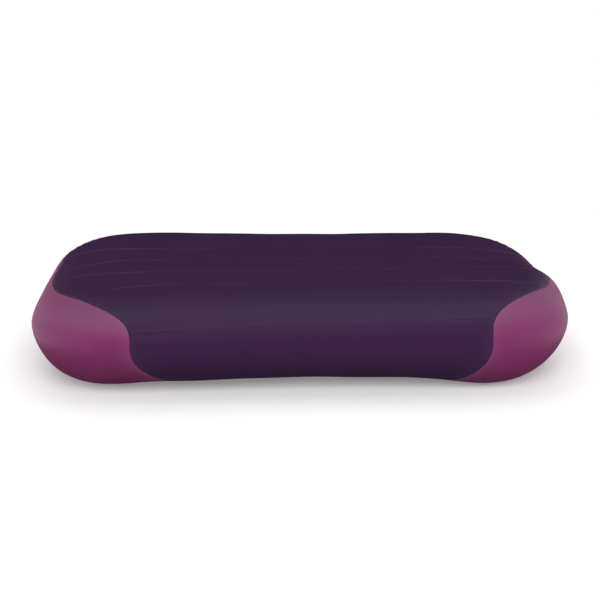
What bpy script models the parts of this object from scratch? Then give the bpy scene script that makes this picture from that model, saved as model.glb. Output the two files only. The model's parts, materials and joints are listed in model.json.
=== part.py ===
"""Inflatable wobble cushion: a sewn and welded air cell with baffles and a two-stage valve.

Metres, +Z up. +X is the viewer's right, +Y points away from the viewer, and the
origin is on the floor under the middle of the cushion.
"""
import math

import bmesh
import bpy
import numpy as np
from mathutils import Vector

# Outer form of the inflated cushion
WIDTH = 0.500
DEPTH = 0.3424
EQUATOR_HEIGHT = 0.0497       # floor to the widest line round the cushion
CROWN_HEIGHT = 0.0299         # widest line to the top
CORNER_RADIUS = 0.0999        # plan rounding of the corners
CORNER_SHAPE = 2.14           # superellipse powers: 2 is a circle, more is squarer
SIDE_DRAW = 0.0059            # how far a long side pulls in between its corners
DRAW_REACH = 0.190            # half the length of side that pulls in
END_TOP_REACH = 0.0888        # run of the rounding from an end up to the flat top
END_TOP_SHAPE = 2.73
END_BASE_REACH = 0.0671       # run of the rounding from an end down to the floor
END_BASE_SHAPE = 2.16
FRONT_TOP_REACH = 0.085       # the same from the front face up
FRONT_TOP_SHAPE = 2.3
REAR_TOP_REACH = 0.0459       # from the rear face up
REAR_TOP_SHAPE = 2.65
SIDE_BASE_REACH = 0.0607      # and from both long faces down to the floor
SIDE_BASE_SHAPE = 1.83
MID_BASE_REACH = 0.010        # extra run down to the floor in the middle of a long side
TIP_INSET = 0.0002            # the ends are closed this far inside their outermost line
TWIST = 0.0031                # rise of the front right and rear left corners

# Fabric, seams and weld lines
SKIN = 0.0010                 # coated fabric
SEAM_GAP = 0.0005             # between two panels that meet edge to edge
WELD_PITCH = 0.0456           # from one weld line on the top to the next
WELD_COUNT = 4
WELD_DEPTH = 0.0014
WELD_HALF_WIDTH = 0.0055
WELD_FADE = 0.020             # run over which a weld line dies out at its ends
FRONT_SEAM_RISE = 0.0155      # front seam above the widest line, at mid length
FRONT_SEAM_TILT = 0.0039      # climb of that seam from mid length to its right end
REAR_SEAM_RISE = 0.0245
BASE_SEAM_HEIGHT = 0.0039     # floor to the seams between the long faces and the base
TOP_SEAM_INSET = 0.0095       # end seams: from the end of the cushion, on the top
SIDE_SEAM_X = 0.1572          # and from its middle, on the widest line
BASE_SEAM_X = 0.1127          # and on the underside
SEAM_SKEW = 0.0057            # both end seams lean this far to the right at the front
FRONT_SWEEP = 0.0037          # from the middle to where an end seam starts to sweep in, at the front
REAR_SWEEP = 0.0876           # and at the rear
SWEEP_POWER = 2.1             # 1 sweeps evenly, more holds the sweep back

# Baffles and tapes inside
BAFFLE_SHEET = 0.0008
BAFFLE_FLANGE = 0.0050        # half width of a weld flange
BAFFLE_CLEAR = 0.0005         # baffle to skin
TAPE_SHEET = 0.0006
TAPE_HALF_WIDTH = 0.0080
TAPE_CLEAR = 0.0009           # tape to skin
TAPE_END_GAP = 0.0030         # from a tape to the baffle or tape that stops at it

# Valve on the rear face, heights measured outwards from the skin
VALVE_X = 0.085
FIT = 0.0003                  # clearance between seated valve pieces
EDGE = 0.0004                 # chamfer of moulded edges
FLANGE_RADIUS = 0.0175
FLANGE_SHEET = 0.0012
NECK_RADIUS = 0.0110
NECK_BORE = 0.0092
NECK_RISE = 0.0045
NECK_INSIDE = 0.0040
HOLE_CLEAR = 0.0004
STRAP_SHEET = 0.0016
STRAP_WIDTH = 0.0080
STRAP_ROOT = 0.0020           # how far a strap or lip runs into the head it belongs to
RING_WALL = 0.0025
PLUG_HINGE_X = 0.0165         # from the valve axis to the fold of the plug's strap
PLUG_HEAD_RADIUS = 0.0120
PLUG_HEAD_SHEET = 0.0022
PLUG_FIT = 0.0004
PLUG_TAPER = 0.0004           # the plug is this much thinner at its inner end
PLUG_DEPTH = 0.0063
PULL_LIP = 0.0040             # how far a pull lip stands out
PORT_BORE = 0.0045
SPIDER_BAR = 0.0018
SPIDER_SHEET = 0.0012
SPIDER_INSET = 0.0002         # spider above the inner end of the plug
SPIDER_HUB = 0.0024
STEM_RADIUS = 0.0010
FLAP_RADIUS = 0.0065
FLAP_SHEET = 0.0008
FLAP_LIFT = 0.0015            # how far the flap moves inwards off its seat
BULB_RADIUS = 0.0018
BULB_LENGTH = 0.0012
CAP_HINGE_X = 0.0110
CAP_HEAD_RADIUS = 0.0070
CAP_HEAD_SHEET = 0.0016
STOPPER_DEPTH = 0.0030
STOPPER_FIT = 0.00035
STOPPER_TAPER = 0.00025

# How finely the forms are divided
COLUMNS = 18
MARGIN_ROWS = 2
FRONT_ROWS = 6
REAR_ROWS = 6
UPRIGHT_ROWS = 4
LOWER_ROWS = 6
BASE_ROWS = 3
END_RINGS = 7
BAFFLE_STATIONS = 16
TURN_STEPS = 28
MERGE = 0.000001

TOP, BASE = 1, -1
LEFT, RIGHT = -1, 1
FRONT, REAR = -1, 1
HALF_WIDTH = WIDTH / 2
HALF_DEPTH = DEPTH / 2
WELD_PLACES = [(k - (WELD_COUNT - 1) / 2) * WELD_PITCH for k in range(WELD_COUNT)]
CORE = WELD_PLACES[-1] + WELD_HALF_WIDTH     # half depth of the welded field

# Heights of the valve pieces above the skin
RING_BASE = FIT + FLANGE_SHEET + FIT
RING_TOP = RING_BASE + STRAP_SHEET
PLUG_HEAD_BASE = NECK_RISE + FIT
PLUG_TOP = PLUG_HEAD_BASE + PLUG_HEAD_SHEET
PLUG_BASE = PLUG_HEAD_BASE - PLUG_DEPTH
PLUG_HINGE_RISE = (RING_TOP + PLUG_HEAD_BASE) / 2
SPIDER_BASE = PLUG_BASE + SPIDER_INSET
SPIDER_TOP = SPIDER_BASE + SPIDER_SHEET
CAP_HEAD_BASE = PLUG_TOP + FIT
CAP_HINGE_RISE = CAP_HEAD_BASE + STRAP_SHEET / 2

DARK = (0.034, 0.0145, 0.045, 1)
MAGENTA = (0.222, 0.060, 0.147, 1)
PALE_WEB = (0.55, 0.53, 0.56, 1)
BLACK_RUBBER = (0.02, 0.02, 0.022, 1)
GREY_RUBBER = (0.22, 0.22, 0.24, 1)


# Form of the skin

def rounding(run, reach, shape):
    """0 on the edge, 1 from `reach` inwards, along a superellipse."""
    left = 1 - min(max(run / reach, 0), 1)
    return max(1 - left ** shape, 0) ** (1 / shape)


def side_draw(x):
    share = min(abs(x) / DRAW_REACH, 1)
    return (1 - share * share) ** 2


def half_depth(x):
    """Half the depth of the cushion along its widest line."""
    corner = 1 - rounding(HALF_WIDTH - abs(x), CORNER_RADIUS, CORNER_SHAPE)
    return HALF_DEPTH - CORNER_RADIUS * corner - SIDE_DRAW * side_draw(x)


def top_round(face):
    """Run and shape of the rounding from a long face up to the flat top."""
    reach, shape = (FRONT_TOP_REACH, FRONT_TOP_SHAPE) if face == FRONT else (REAR_TOP_REACH, REAR_TOP_SHAPE)
    return min(reach, half_depth(0) - CORE), shape


def base_reach(x):
    return SIDE_BASE_REACH + MID_BASE_REACH * side_draw(x)


def weld_dip(x, y):
    dip = 0
    for place in WELD_PLACES:
        fade = rounding(weld_end(place, TOP) - abs(x), WELD_FADE, 2)
        dip += WELD_DEPTH * fade * math.exp(-((y - place) / WELD_HALF_WIDTH) ** 2)
    return dip


def smooth_height(x, y, sheet):
    """Height of the top sheet or of the base sheet over a point of the plan, without welds."""
    end = HALF_WIDTH - abs(x)
    side = half_depth(x) - abs(y)
    if sheet == TOP:
        face = FRONT if y < 0 else REAR
        lift = rounding(end, END_TOP_REACH, END_TOP_SHAPE) * rounding(side, *top_round(face))
        twist = TWIST * (x / HALF_WIDTH) * (-y / HALF_DEPTH)
        return EQUATOR_HEIGHT + (CROWN_HEIGHT + twist) * lift
    drop = rounding(end, END_BASE_REACH, END_BASE_SHAPE) * rounding(side, base_reach(x), SIDE_BASE_SHAPE)
    return EQUATOR_HEIGHT * (1 - drop)


def skin_height(x, y, sheet):
    height = smooth_height(x, y, sheet)
    return height - weld_dip(x, y) if sheet == TOP else height


def rear_skin_y(x, z):
    """Where the rear face lies at a given height."""
    rise = z - EQUATOR_HEIGHT
    end = HALF_WIDTH - abs(x)
    if rise >= 0:
        reach, shape = top_round(REAR)
        full = (CROWN_HEIGHT - TWIST * x / HALF_WIDTH) * rounding(end, END_TOP_REACH, END_TOP_SHAPE)
    else:
        reach, shape = base_reach(x), SIDE_BASE_SHAPE
        full = EQUATOR_HEIGHT * rounding(end, END_BASE_REACH, END_BASE_SHAPE)
    share = min(abs(rise) / full, 1)
    return half_depth(x) - reach * (1 - (1 - share ** shape) ** (1 / shape))


# A row runs along the cushion: 0 is its middle, 1 the edge of the welded field, 2 the widest
# line, negative at the front

def row_y(x, row):
    if abs(row) <= 1:
        return row * CORE
    return math.copysign(CORE + (half_depth(x) - CORE) * (abs(row) - 1), row)


def row_at(y):
    """The row that crosses the middle of the cushion this far from its centre line."""
    return y / CORE if y <= CORE else 1 + (y - CORE) / (half_depth(0) - CORE)


def round_row(angle, face, sheet):
    """The row that lies `angle` up the top rounding of a face, or down its base rounding."""
    reach, shape = top_round(face) if sheet == TOP else (base_reach(0), SIDE_BASE_SHAPE)
    run = reach * (1 - max(math.cos(angle), 0) ** (2 / shape))
    return 2 - run / (half_depth(0) - CORE)


def end_seam_x(row, sheet, side):
    """Where the end seam of that side crosses a row."""
    if sheet == TOP:
        start = row_at(FRONT_SWEEP if row < 0 else REAR_SWEEP)
        share = max((abs(row) - start) / (2 - start), 0) ** SWEEP_POWER
        top = HALF_WIDTH - TOP_SEAM_INSET
        x = top + (SIDE_SEAM_X - top) * (1 - math.cos(math.pi * share)) / 2
    else:
        run = (2 - abs(row)) * (half_depth(0) - CORE)
        under = rounding(run, base_reach(0), SIDE_BASE_SHAPE) ** 2
        x = SIDE_SEAM_X + (BASE_SEAM_X - SIDE_SEAM_X) * under
    return side * x + SEAM_SKEW * max(-row, 0) / 2


def weld_end(place, sheet):
    """Half length of the weld at `place`, which stops short of the tapes of both end seams."""
    row = place / CORE
    nearest = min(side * end_seam_x(row, sheet, side) for side in (LEFT, RIGHT))
    return nearest - TAPE_HALF_WIDTH - TAPE_END_GAP


# A station gives a row and its sheet at each share c of the way along the cushion,
# from -1 at the left end seam to 1 at the right one

def flat_station(y, sheet):
    return lambda c: (y / CORE, sheet)


def round_station(angle, face):
    """A station on a long face, angle(c) up from the widest line, or down where negative."""
    def station(c):
        sheet = TOP if angle(c) >= 0 else BASE
        return face * round_row(abs(angle(c)), face, sheet), sheet
    return station


def seam_angle(face):
    """Angle of the long seam of a face, as a function of c."""
    rise, tilt = (FRONT_SEAM_RISE, FRONT_SEAM_TILT) if face == FRONT else (REAR_SEAM_RISE, 0)
    _, shape = top_round(face)

    def angle(c):
        full = CROWN_HEIGHT - face * TWIST * c * SIDE_SEAM_X / HALF_WIDTH
        return math.asin(min((rise + tilt * c) / full, 1) ** (shape / 2))
    return angle


def base_seam_angle():
    """How far down the base rounding the seams of the base lie."""
    drop = (EQUATOR_HEIGHT - BASE_SEAM_HEIGHT) / EQUATOR_HEIGHT
    return math.asin(drop ** (SIDE_BASE_SHAPE / 2))


def face_rows(face, first, last, count):
    """Stations spread evenly over the rounding of a face, from one angle function to another."""
    def spread(share):
        return round_station(lambda c: first(c) + (last(c) - first(c)) * share, face)
    return [spread(i / count) for i in range(count + 1)]


def level(angle):
    return lambda c: angle


def margin_stations(face):
    """Rows between the welded field and the rounding of a face, from the field outwards."""
    margin = round_row(math.pi / 2, face, TOP) - 1
    shares = [i / (MARGIN_ROWS + 1) for i in range(1, MARGIN_ROWS + 1)]
    return [flat_station(face * CORE * (1 + margin * share), TOP) for share in shares]


def upper_stations():
    welds = []
    for place in WELD_PLACES:
        welds += [place - WELD_HALF_WIDTH, place, place + WELD_HALF_WIDTH, place + WELD_PITCH / 2]
    front = face_rows(FRONT, seam_angle(FRONT), level(math.pi / 2), FRONT_ROWS)
    rear = face_rows(REAR, level(math.pi / 2), seam_angle(REAR), REAR_ROWS)
    field = [flat_station(y, TOP) for y in welds[:-1]]
    return front + margin_stations(FRONT)[::-1] + field + margin_stations(REAR) + rear


def lower_stations(face):
    """From the long seam of a face down to the seam of the base."""
    upper = face_rows(face, seam_angle(face), level(0), UPRIGHT_ROWS)
    return upper + face_rows(face, level(0), level(-base_seam_angle()), LOWER_ROWS)[1:]


def base_stations():
    rear = face_rows(REAR, level(-base_seam_angle()), level(-math.pi / 2), BASE_ROWS)
    front = face_rows(FRONT, level(-math.pi / 2), level(-base_seam_angle()), BASE_ROWS)
    return rear + [flat_station(share * CORE, BASE) for share in (1, 0.5, 0, -0.5, -1)] + front


def round_stations():
    """Once round the cushion: over the top, down the rear, under the base and up the front."""
    front = list(reversed(lower_stations(FRONT)))
    return upper_stations() + lower_stations(REAR)[1:] + base_stations()[1:] + front[1:-1]


# Grids of points on the skin

def skin_point(x, row, sheet):
    y = row_y(x, row)
    return x, y, skin_height(x, y, sheet)


def between_end_seams(stations, inset=0):
    """A grid from the left end seam to the right one, or short of both by `inset`."""
    shares = np.linspace(-1, 1, COLUMNS + 1)
    shares = 0.35 * shares + 0.65 * np.sin(shares * math.pi / 2)
    grid = []
    for station in stations:
        line = []
        for c in shares:
            row, sheet = station(c)
            left = end_seam_x(row, sheet, LEFT) + inset
            right = end_seam_x(row, sheet, RIGHT) - inset
            line.append(skin_point((left + right) / 2 + (right - left) / 2 * c, row, sheet))
        grid.append(line)
    return np.array(grid)


def beyond_seam(station, side, x):
    """A point of the end panel, on a station carried on past the end seam."""
    row, sheet = station(side)
    seam = end_seam_x(row, sheet, side)
    y = row_y(seam, row) / half_depth(seam) * half_depth(x)
    return x, y, skin_height(x, y, sheet)


def end_grid(side):
    """Rings from the end seam out to the tip of the end."""
    tip = side * (HALF_WIDTH - TIP_INSET)
    stations = round_stations()
    seams = [end_seam_x(*station(side), side) for station in stations]
    turns = [math.sin(k / END_RINGS * math.pi / 2) for k in range(END_RINGS + 1)]
    return np.array([[beyond_seam(station, side, seam + (tip - seam) * turn)
                      for station, seam in zip(stations, seams)] for turn in turns])


def end_tape_grid(side):
    """Three lines along the end seam: inside it, on it and outside it."""
    lines = [[], [], []]
    for station in round_stations():
        row, sheet = station(side)
        seam = end_seam_x(row, sheet, side)
        outer = min(TAPE_HALF_WIDTH, 0.6 * (HALF_WIDTH - abs(seam)))
        lines[0].append(skin_point(seam - side * TAPE_HALF_WIDTH, row, sheet))
        lines[1].append(skin_point(seam, row, sheet))
        lines[2].append(beyond_seam(station, side, seam + side * outer))
    return np.array(lines)


def tape_stations(face, angle, reach, rise):
    """The edges and the middle of a tape along a rounding with this run and this rise."""
    middle = angle(0)
    turn = TAPE_HALF_WIDTH / math.hypot(reach * math.sin(middle), rise * math.cos(middle))
    return face_rows(face, lambda c: angle(c) - turn, lambda c: angle(c) + turn, 2)


def baffle_grid(place):
    """Sections of an I-shaped web, from the left end to the right end of its weld."""
    grid = []
    for share in np.linspace(-1, 1, BAFFLE_STATIONS + 1):
        x_top = share * weld_end(place, TOP)
        x_base = share * weld_end(place, BASE)
        top = smooth_height(x_top, place, TOP) - WELD_DEPTH - SKIN - BAFFLE_CLEAR
        base = smooth_height(x_base, place, BASE) + SKIN + BAFFLE_CLEAR
        flange, web = BAFFLE_FLANGE, BAFFLE_SHEET / 2
        under, over = top - BAFFLE_SHEET, base + BAFFLE_SHEET
        right = [(flange, top), (flange, under), (web, under), (web, over), (flange, over), (flange, base)]
        section = right + [(-y, z) for y, z in reversed(right)]
        slope = (x_top - x_base) / (top - base)
        grid.append([(x_base + (z - base) * slope, place + y, z) for y, z in section])
    return np.array(grid)


def stepped(start, towards, length):
    move = towards - start
    return start + move / np.linalg.norm(move, axis=-1, keepdims=True) * length


def trimmed(grid):
    """Pull all four edges of a grid in by half a seam gap."""
    half = SEAM_GAP / 2
    grid = grid.copy()
    grid[0] = stepped(grid[0], grid[1], half)
    grid[-1] = stepped(grid[-1], grid[-2], half)
    grid[:, 0] = stepped(grid[:, 0], grid[:, 1], half)
    grid[:, -1] = stepped(grid[:, -1], grid[:, -2], half)
    return grid


# Objects

def clear_scene():
    for old in list(bpy.data.objects):
        bpy.data.objects.remove(old, do_unlink=True)


def new_collection(name):
    group = bpy.data.collections.new(name)
    bpy.context.scene.collection.children.link(group)
    return group


def new_material(name, colour, roughness):
    finish = bpy.data.materials.new(name)
    finish.use_nodes = True
    shader = finish.node_tree.nodes["Principled BSDF"]
    shader.inputs["Base Color"].default_value = colour
    shader.inputs["Roughness"].default_value = roughness
    shader.inputs["Metallic"].default_value = 0
    return finish


def new_object(name, mesh, group, parent=None):
    thing = bpy.data.objects.new(name, mesh)
    group.objects.link(thing)
    thing.parent = parent
    return thing


def finish_object(thing, finish):
    thing.data.materials.append(finish)
    thing.data.shade_smooth()
    thing.data.set_sharp_from_angle(angle=math.radians(40))


def new_empty(name, group, location, parent=None):
    empty = new_object(name, None, group, parent)
    empty.empty_display_size = FLANGE_RADIUS
    empty.location = location
    return empty


def grid_mesh(name, points, wrap=False, close=()):
    """A grid laid over an array of points. `wrap` joins its last column to the first, and
    the rows listed in `close`, 0 or -1, are then filled."""
    if wrap:
        points = np.concatenate([points, points[:, :1]], axis=1)
    rows, columns = points.shape[:2]
    work = bmesh.new()
    bmesh.ops.create_grid(work, x_segments=columns - 1, y_segments=rows - 1, size=1)
    verts = list(work.verts)
    for vert, point in zip(verts, points.reshape(-1, 3)):
        vert.co = point
    rims = {0: set(verts[:columns]), -1: set(verts[-columns:])}
    bmesh.ops.remove_doubles(work, verts=work.verts, dist=MERGE)
    for row in close:
        rim = [edge for edge in work.edges if all(vert in rims[row] for vert in edge.verts)]
        bmesh.ops.contextual_create(work, geom=rim)
    bmesh.ops.recalc_face_normals(work, faces=work.faces)
    inside = Vector((0, 0, EQUATOR_HEIGHT))
    facing = sum((face.calc_center_median() - inside).dot(face.normal) for face in work.faces)
    if facing < 0 and not (wrap and len(close) == 2):
        bmesh.ops.reverse_faces(work, faces=work.faces)
    mesh = bpy.data.meshes.new(name)
    work.to_mesh(mesh)
    work.free()
    return mesh


def sheet_object(name, points, thickness, finish, group, depth=0, wrap=False, close=()):
    """A sheet of fabric whose outer face lies `depth` under the given points of the skin."""
    sheet = new_object(name, grid_mesh(name, points, wrap, close), group)
    finish_object(sheet, finish)
    shell = sheet.modifiers.new("thickness", "SOLIDIFY")
    shell.thickness = thickness
    shell.offset = -1 - 2 * depth / thickness
    shell.use_even_offset = True
    return sheet


def turned(name, profile, group, parent, closed=False):
    """A profile of (radius, height) turned about Z, listed down its outer side."""
    count = len(profile)
    edges = [(i, i + 1) for i in range(count - 1)] + ([(count - 1, 0)] if closed else [])
    mesh = bpy.data.meshes.new(name)
    mesh.from_pydata([(radius, 0, height) for radius, height in profile], edges, [])
    thing = new_object(name, mesh, group, parent)
    screw = thing.modifiers.new("turned", "SCREW")
    screw.angle = math.tau
    screw.steps = screw.render_steps = TURN_STEPS
    screw.use_merge_vertices = True
    screw.merge_threshold = MERGE
    screw.use_smooth_shade = True
    return thing


def cut_tool(thing):
    thing.hide_render = True
    thing.display_type = "WIRE"
    return thing


def block_tool(name, low, high, group, parent):
    """A box between two corners, used to add to or cut from another piece."""
    work = bmesh.new()
    bmesh.ops.create_cube(work, size=1)
    size = [b - a for a, b in zip(low, high)]
    middle = [(a + b) / 2 for a, b in zip(low, high)]
    bmesh.ops.scale(work, vec=size, verts=work.verts)
    bmesh.ops.translate(work, vec=middle, verts=work.verts)
    mesh = bpy.data.meshes.new(name)
    work.to_mesh(mesh)
    work.free()
    return cut_tool(new_object(name, mesh, group, parent))


def rod_tool(name, radius, low, high, group, parent):
    """A round rod along the valve axis, used to add to or cut from another piece."""
    work = bmesh.new()
    bmesh.ops.create_cone(work, cap_ends=True, segments=TURN_STEPS, radius1=radius, radius2=radius,
                          depth=high - low)
    bmesh.ops.translate(work, vec=(0, 0, (low + high) / 2), verts=work.verts)
    mesh = bpy.data.meshes.new(name)
    work.to_mesh(mesh)
    work.free()
    return cut_tool(new_object(name, mesh, group, parent))


def combine(thing, tool, operation):
    step = thing.modifiers.new(tool.name, "BOOLEAN")
    step.operation = operation
    step.solver = "EXACT"
    step.object = tool


def strap_block(name, near, far, base, group, parent):
    """A strap or lip between two distances along X from the valve axis."""
    low = (min(near, far), -STRAP_WIDTH / 2, base)
    high = (max(near, far), STRAP_WIDTH / 2, base + STRAP_SHEET)
    return block_tool(name, low, high, group, parent)


# Pieces of the cushion

def build_skin(group, dark, magenta):
    dark_panels = {
        "upper_panel": upper_stations(),
        "front_lower_panel": lower_stations(FRONT),
        "rear_lower_panel": lower_stations(REAR),
    }
    for name, stations in dark_panels.items():
        sheet_object(name, trimmed(between_end_seams(stations)), SKIN, dark, group)
    base = trimmed(between_end_seams(base_stations()))
    sheet_object("base_panel", base, SKIN, magenta, group)
    for name, side in (("left_end_panel", LEFT), ("right_end_panel", RIGHT)):
        grid = end_grid(side)
        grid[0] = stepped(grid[0], grid[1], SEAM_GAP / 2)
        sheet_object(name, grid, SKIN, magenta, group, wrap=True, close=(-1,))


def build_tapes(group, finish):
    depth = SKIN + TAPE_CLEAR
    inset = TAPE_HALF_WIDTH + TAPE_END_GAP
    for name, face in (("front", FRONT), ("rear", REAR)):
        top_reach, _ = top_round(face)
        seam = tape_stations(face, seam_angle(face), top_reach, CROWN_HEIGHT)
        base = tape_stations(face, level(-base_seam_angle()), base_reach(0), EQUATOR_HEIGHT)
        sheet_object(name + "_seam_tape", between_end_seams(seam, inset), TAPE_SHEET, finish, group, depth)
        sheet_object(name + "_base_tape", between_end_seams(base, inset), TAPE_SHEET, finish, group, depth)
    for name, side in (("left_seam_tape", LEFT), ("right_seam_tape", RIGHT)):
        sheet_object(name, end_tape_grid(side), TAPE_SHEET, finish, group, depth, wrap=True)


def build_baffles(group, finish):
    for number, place in enumerate(WELD_PLACES, 1):
        name = f"baffle_{number}"
        web = new_object(name, grid_mesh(name, baffle_grid(place), wrap=True, close=(0, -1)), group)
        finish_object(web, finish)


# Pieces of the valve, built about its own axis: Z outwards, X along the cushion

def valve_lean():
    """How far the rear face turns from square at the valve, as an angle about Z."""
    step = FLANGE_RADIUS / 2
    return math.atan((half_depth(VALVE_X + step) - half_depth(VALVE_X - step)) / (2 * step))


def build_flange(group, seat, finish):
    """Bonded flange that follows the rear face, with the neck through the skin."""
    lean = valve_lean()

    def on_axis(radius, turn, rise):
        return radius * math.cos(turn), radius * math.sin(turn), rise

    def on_skin(radius, turn, rise):
        x, y, _ = on_axis(radius, turn, 0)
        along = x * math.cos(lean)
        skin = rear_skin_y(VALVE_X + along, EQUATOR_HEIGHT - y) - half_depth(VALVE_X)
        return x, y, (skin - along * math.tan(lean)) * math.cos(lean) + rise

    middle = (NECK_RADIUS + FLANGE_RADIUS) / 2
    outline = [
        (on_axis, NECK_BORE, NECK_RISE), (on_axis, NECK_RADIUS, NECK_RISE),
        (on_skin, NECK_RADIUS, FIT + FLANGE_SHEET), (on_skin, middle, FIT + FLANGE_SHEET),
        (on_skin, FLANGE_RADIUS, FIT + FLANGE_SHEET / 2), (on_skin, FLANGE_RADIUS, FIT),
        (on_skin, middle, FIT), (on_skin, NECK_RADIUS, FIT),
        (on_axis, NECK_RADIUS, -NECK_INSIDE), (on_axis, NECK_BORE, -NECK_INSIDE)]
    turns = [math.tau * step / TURN_STEPS for step in range(TURN_STEPS + 1)]
    sections = np.array([[place(radius, turn, rise) for place, radius, rise in outline] for turn in turns])
    flange = new_object("valve_flange", grid_mesh("valve_flange", sections, wrap=True), group, seat)
    finish_object(flange, finish)


def build_strap_ring(group, tools, seat, finish):
    inner = NECK_RADIUS + FIT
    outer = inner + RING_WALL
    ring = turned("valve_strap_ring", [(inner, RING_TOP), (outer, RING_TOP), (outer, RING_BASE),
                                       (inner, RING_BASE)], group, seat, closed=True)
    tab = strap_block("ring_tab", -(inner + RING_WALL / 2), -PLUG_HINGE_X, RING_BASE, tools, seat)
    combine(ring, tab, "UNION")
    finish_object(ring, finish)


def build_plug(group, tools, hinge, finish):
    upper = NECK_BORE - PLUG_FIT
    lower = upper - PLUG_TAPER
    plug = turned("valve_plug", [
        (PORT_BORE, PLUG_TOP), (PLUG_HEAD_RADIUS - EDGE, PLUG_TOP), (PLUG_HEAD_RADIUS, PLUG_TOP - EDGE),
        (PLUG_HEAD_RADIUS, PLUG_HEAD_BASE), (upper, PLUG_HEAD_BASE), (lower, PLUG_BASE),
        (PORT_BORE, PLUG_BASE)], group, hinge, closed=True)
    root = PLUG_HEAD_RADIUS - STRAP_ROOT
    half, reach = SPIDER_BAR / 2, PORT_BORE + EDGE
    parts = [
        strap_block("plug_strap", -root, -PLUG_HINGE_X, PLUG_HEAD_BASE, tools, hinge),
        strap_block("plug_lip", root, PLUG_HEAD_RADIUS + PULL_LIP, PLUG_HEAD_BASE, tools, hinge),
        block_tool("spider_bar_x", (-reach, -half, SPIDER_BASE), (reach, half, SPIDER_TOP), tools, hinge),
        block_tool("spider_bar_y", (-half, -reach, SPIDER_BASE), (half, reach, SPIDER_TOP), tools, hinge),
        rod_tool("spider_hub", SPIDER_HUB, SPIDER_BASE, SPIDER_TOP, tools, hinge)]
    hole = rod_tool("spider_hole", STEM_RADIUS + FIT, SPIDER_BASE - EDGE, SPIDER_TOP + EDGE, tools, hinge)
    for part in parts:
        combine(plug, part, "UNION")
    combine(plug, hole, "DIFFERENCE")
    finish_object(plug, finish)
    return [plug, hole] + parts


def build_flap(group, guide, finish):
    top = PLUG_BASE - FIT
    bulb = SPIDER_TOP + FLAP_LIFT + FIT
    flap = turned("check_flap", [
        (0, bulb + BULB_LENGTH), (BULB_RADIUS - EDGE, bulb + BULB_LENGTH), (BULB_RADIUS, bulb + EDGE),
        (BULB_RADIUS - EDGE, bulb), (STEM_RADIUS, bulb), (STEM_RADIUS, top), (FLAP_RADIUS, top),
        (FLAP_RADIUS, top - FLAP_SHEET / 2), (STEM_RADIUS, top - FLAP_SHEET), (0, top - FLAP_SHEET)],
        group, guide)
    finish_object(flap, finish)
    return flap


def build_cap(group, tools, hinge, finish):
    upper = PORT_BORE - STOPPER_FIT
    lower = upper - STOPPER_TAPER
    top = CAP_HEAD_BASE + CAP_HEAD_SHEET
    cap = turned("inflate_cap", [
        (0, top), (CAP_HEAD_RADIUS - EDGE, top), (CAP_HEAD_RADIUS, top - EDGE),
        (CAP_HEAD_RADIUS, CAP_HEAD_BASE), (upper, CAP_HEAD_BASE),
        (lower, CAP_HEAD_BASE - STOPPER_DEPTH), (0, CAP_HEAD_BASE - STOPPER_DEPTH)], group, hinge)
    root = CAP_HEAD_RADIUS - STRAP_ROOT
    parts = [
        strap_block("cap_strap", root, CAP_HINGE_X, CAP_HEAD_BASE, tools, hinge),
        strap_block("cap_lip", -root, -(CAP_HEAD_RADIUS + PULL_LIP), CAP_HEAD_BASE, tools, hinge)]
    for part in parts:
        combine(cap, part, "UNION")
    finish_object(cap, finish)
    return [cap] + parts


def build_valve(group, tools, black, grey):
    seat = new_empty("valve_seat", group, (VALVE_X, half_depth(VALVE_X), EQUATOR_HEIGHT))
    seat.rotation_euler = (-math.pi / 2, 0, valve_lean())
    plug_hinge = new_empty("plug_hinge", group, (-PLUG_HINGE_X, 0, PLUG_HINGE_RISE), seat)
    cap_place = Vector((CAP_HINGE_X, 0, CAP_HINGE_RISE))
    cap_hinge = new_empty("cap_hinge", group, cap_place - plug_hinge.location, plug_hinge)
    build_flange(group, seat, black)
    build_strap_ring(group, tools, seat, black)
    for thing in build_plug(group, tools, plug_hinge, black) + [build_flap(group, plug_hinge, grey)]:
        thing.location = -plug_hinge.location
    for thing in build_cap(group, tools, cap_hinge, black):
        thing.location = -cap_place
    hole = rod_tool("valve_hole", NECK_RADIUS + HOLE_CLEAR, -FLANGE_RADIUS, FLANGE_RADIUS, tools, seat)
    combine(bpy.data.objects["rear_lower_panel"], hole, "DIFFERENCE")


def main():
    clear_scene()
    cushion = new_collection("wobble_cushion")
    tools = new_collection("cutters")
    dark = new_material("dark_fabric", DARK, 0.6)
    magenta = new_material("magenta_fabric", MAGENTA, 0.6)
    web = new_material("web_fabric", PALE_WEB, 0.7)
    build_skin(cushion, dark, magenta)
    build_tapes(cushion, web)
    build_baffles(cushion, web)
    build_valve(cushion, tools, new_material("black_rubber", BLACK_RUBBER, 0.5),
                new_material("grey_rubber", GREY_RUBBER, 0.45))


main()
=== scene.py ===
import json
import math

import bmesh
import bpy
import numpy as np
from mathutils import Matrix, Vector
from mathutils.kdtree import KDTree


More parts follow.
